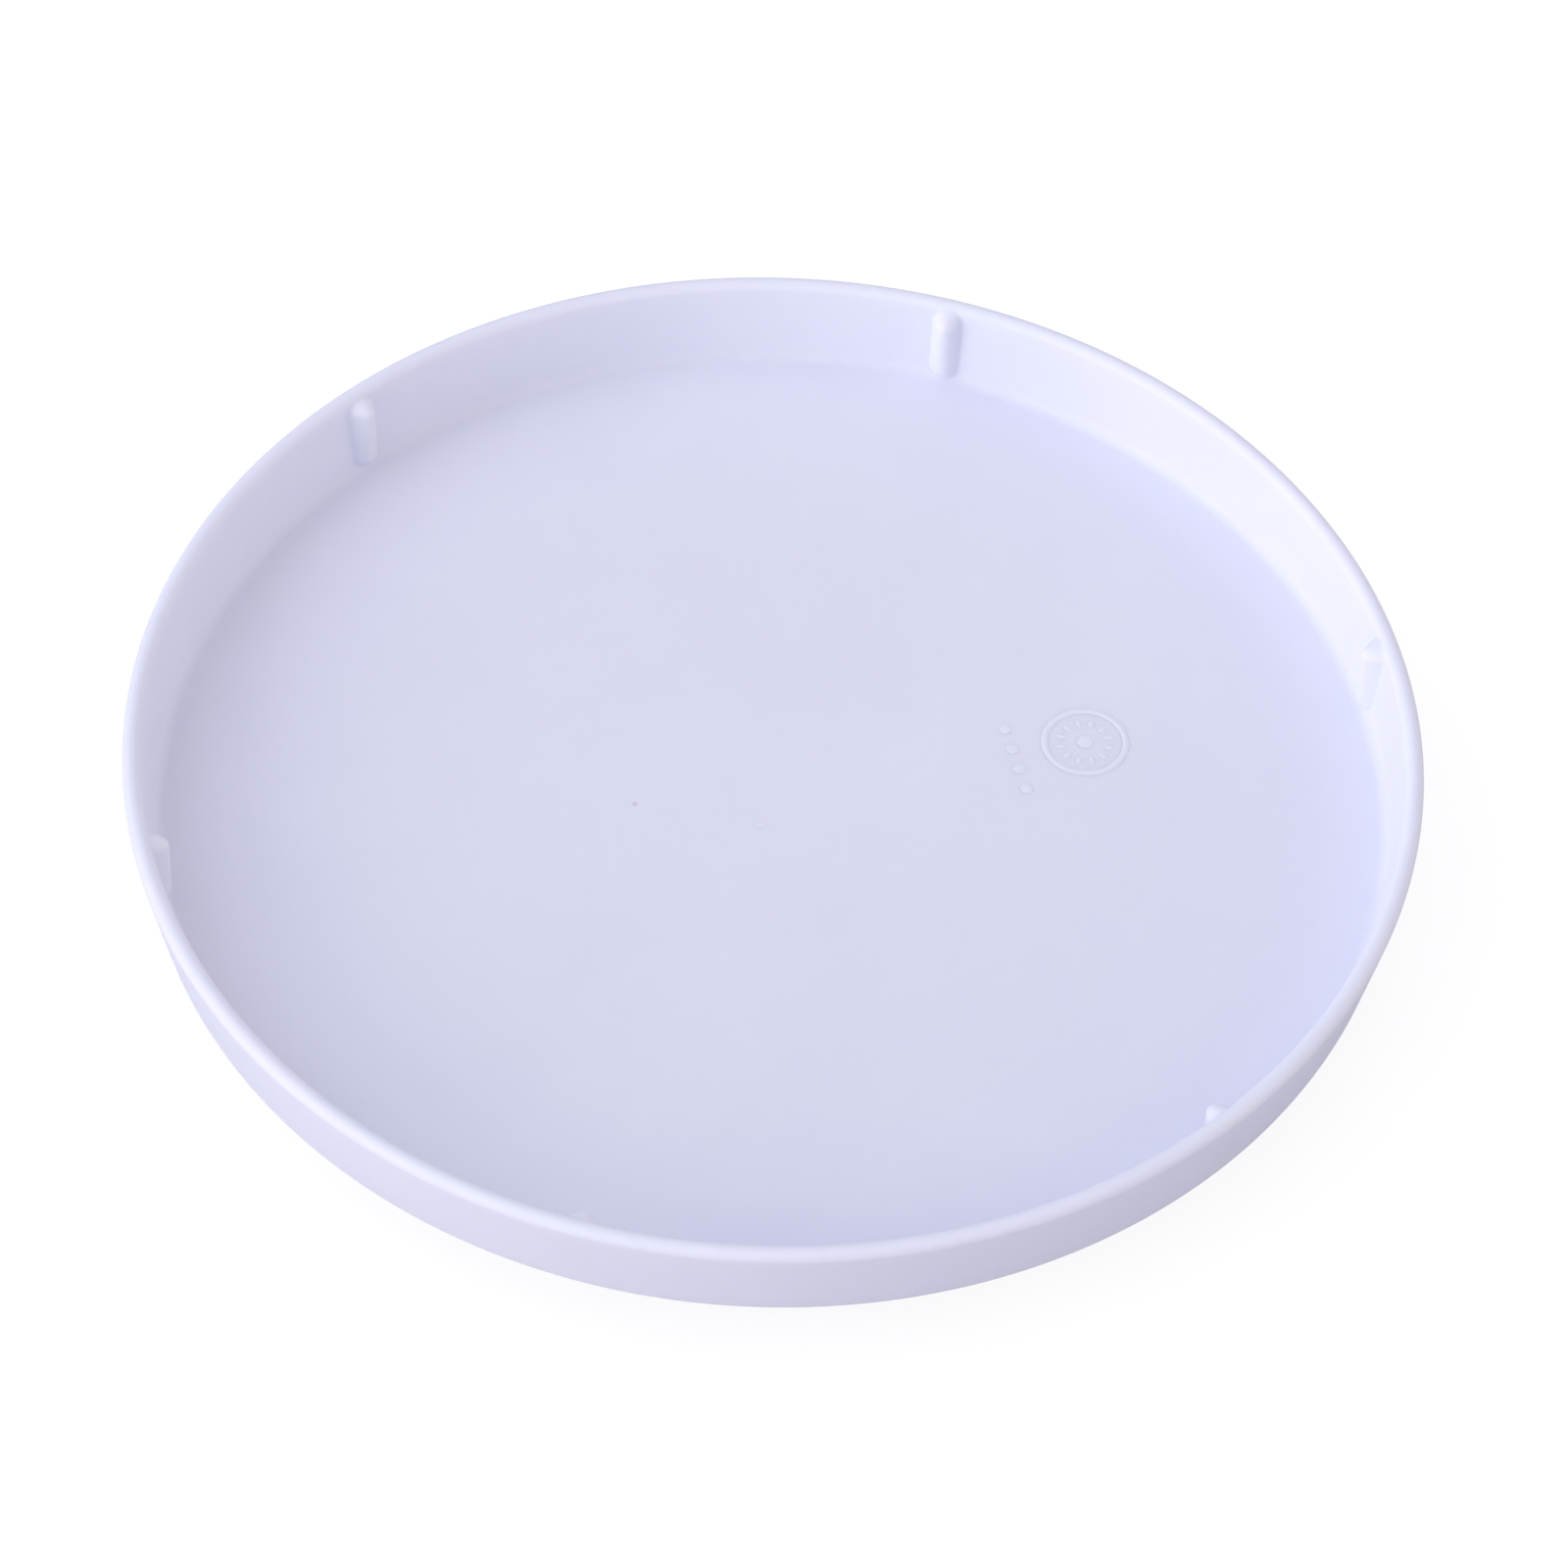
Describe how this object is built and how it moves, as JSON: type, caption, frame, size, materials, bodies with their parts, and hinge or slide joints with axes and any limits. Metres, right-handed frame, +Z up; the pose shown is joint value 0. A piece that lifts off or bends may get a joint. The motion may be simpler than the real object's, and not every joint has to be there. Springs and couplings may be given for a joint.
{
  "type": "lazy susan turntable",
  "caption": "Low round plastic tray with upright ribs inside its rim, turning on a caged ball race over a small footed base.",
  "frame": {"origin": "on the axis of turning, in the plane of the surface that the feet stand on (the bottom centre of the bounding box)", "axes": "+Z up along the axis of turning; one of the tray's six ribs stands 15 degrees round from +X towards +Y, and the first ball lies on +X"},
  "size_m": [0.2, 0.2, 0.03],
  "materials": {
    "tray_plastic": "smooth satin white polypropylene with a cool, faintly lavender cast",
    "base_plastic": "satin white polypropylene",
    "cage_acetal": "natural acetal, smooth",
    "bush_acetal": "natural acetal, polished in the bore",
    "bearing_steel": "polished bearing steel",
    "zinc_steel": "zinc plated",
    "foot_rubber": "matt moulded rubber"
  },
  "bodies": {
    "base": {"base": "base_plastic", "pivot_bush": "bush_acetal", "hub_cap": "base_plastic", "foot_1": "foot_rubber", "foot_2": "foot_rubber", "foot_3": "foot_rubber", "foot_4": "foot_rubber", "foot_5": "foot_rubber", "foot_6": "foot_rubber"},
    "tray": {"tray": "tray_plastic", "retaining_washer": "zinc_steel", "pivot_screw": "zinc_steel"},
    "cage": {"ball_cage": "cage_acetal"},
    "ball_01": {"ball_01": "bearing_steel"},
    "ball_02": {"ball_02": "bearing_steel"},
    "ball_03": {"ball_03": "bearing_steel"},
    "ball_04": {"ball_04": "bearing_steel"},
    "ball_05": {"ball_05": "bearing_steel"},
    "ball_06": {"ball_06": "bearing_steel"},
    "ball_07": {"ball_07": "bearing_steel"},
    "ball_08": {"ball_08": "bearing_steel"},
    "ball_09": {"ball_09": "bearing_steel"},
    "ball_10": {"ball_10": "bearing_steel"},
    "ball_11": {"ball_11": "bearing_steel"},
    "ball_12": {"ball_12": "bearing_steel"}
  },
  "joints": [
    {"name": "tray_spin", "type": "hinge", "parent": "base", "child": "tray", "pos_m": [0, 0, 0.013], "axis": [0, 0, 1], "continuous": true},
    {"name": "cage_spin", "type": "hinge", "parent": "base", "child": "cage", "pos_m": [0, 0, 0.00735], "axis": [0, 0, 1], "continuous": true},
    {"name": "ball_01_roll", "type": "hinge", "parent": "cage", "child": "ball_01", "pos_m": [0.05, 0, 0.00735], "axis": [1, 0, 0], "continuous": true},
    {"name": "ball_02_roll", "type": "hinge", "parent": "cage", "child": "ball_02", "pos_m": [0.0433, 0.025, 0.00735], "axis": [0.866, 0.5, 0], "continuous": true},
    {"name": "ball_03_roll", "type": "hinge", "parent": "cage", "child": "ball_03", "pos_m": [0.025, 0.0433, 0.00735], "axis": [0.5, 0.866, 0], "continuous": true},
    {"name": "ball_04_roll", "type": "hinge", "parent": "cage", "child": "ball_04", "pos_m": [0, 0.05, 0.00735], "axis": [0, 1, 0], "continuous": true},
    {"name": "ball_05_roll", "type": "hinge", "parent": "cage", "child": "ball_05", "pos_m": [-0.025, 0.0433, 0.00735], "axis": [-0.5, 0.866, 0], "continuous": true},
    {"name": "ball_06_roll", "type": "hinge", "parent": "cage", "child": "ball_06", "pos_m": [-0.0433, 0.025, 0.00735], "axis": [-0.866, 0.5, 0], "continuous": true},
    {"name": "ball_07_roll", "type": "hinge", "parent": "cage", "child": "ball_07", "pos_m": [-0.05, 0, 0.00735], "axis": [-1, 0, 0], "continuous": true},
    {"name": "ball_08_roll", "type": "hinge", "parent": "cage", "child": "ball_08", "pos_m": [-0.0433, -0.025, 0.00735], "axis": [-0.866, -0.5, 0], "continuous": true},
    {"name": "ball_09_roll", "type": "hinge", "parent": "cage", "child": "ball_09", "pos_m": [-0.025, -0.0433, 0.00735], "axis": [-0.5, -0.866, 0], "continuous": true},
    {"name": "ball_10_roll", "type": "hinge", "parent": "cage", "child": "ball_10", "pos_m": [0, -0.05, 0.00735], "axis": [0, -1, 0], "continuous": true},
    {"name": "ball_11_roll", "type": "hinge", "parent": "cage", "child": "ball_11", "pos_m": [0.025, -0.0433, 0.00735], "axis": [0.5, -0.866, 0], "continuous": true},
    {"name": "ball_12_roll", "type": "hinge", "parent": "cage", "child": "ball_12", "pos_m": [0.0433, -0.025, 0.00735], "axis": [0.866, -0.5, 0], "continuous": true}
  ],
  "couplings": [
    {"joint": "cage_spin", "follows": "tray_spin", "ratio": 0.5},
    {"joint": "ball_01_roll", "follows": "tray_spin", "ratio": -8.3333},
    {"joint": "ball_02_roll", "follows": "tray_spin", "ratio": -8.3333},
    {"joint": "ball_03_roll", "follows": "tray_spin", "ratio": -8.3333},
    {"joint": "ball_04_roll", "follows": "tray_spin", "ratio": -8.3333},
    {"joint": "ball_05_roll", "follows": "tray_spin", "ratio": -8.3333},
    {"joint": "ball_06_roll", "follows": "tray_spin", "ratio": -8.3333},
    {"joint": "ball_07_roll", "follows": "tray_spin", "ratio": -8.3333},
    {"joint": "ball_08_roll", "follows": "tray_spin", "ratio": -8.3333},
    {"joint": "ball_09_roll", "follows": "tray_spin", "ratio": -8.3333},
    {"joint": "ball_10_roll", "follows": "tray_spin", "ratio": -8.3333},
    {"joint": "ball_11_roll", "follows": "tray_spin", "ratio": -8.3333},
    {"joint": "ball_12_roll", "follows": "tray_spin", "ratio": -8.3333}
  ]
}
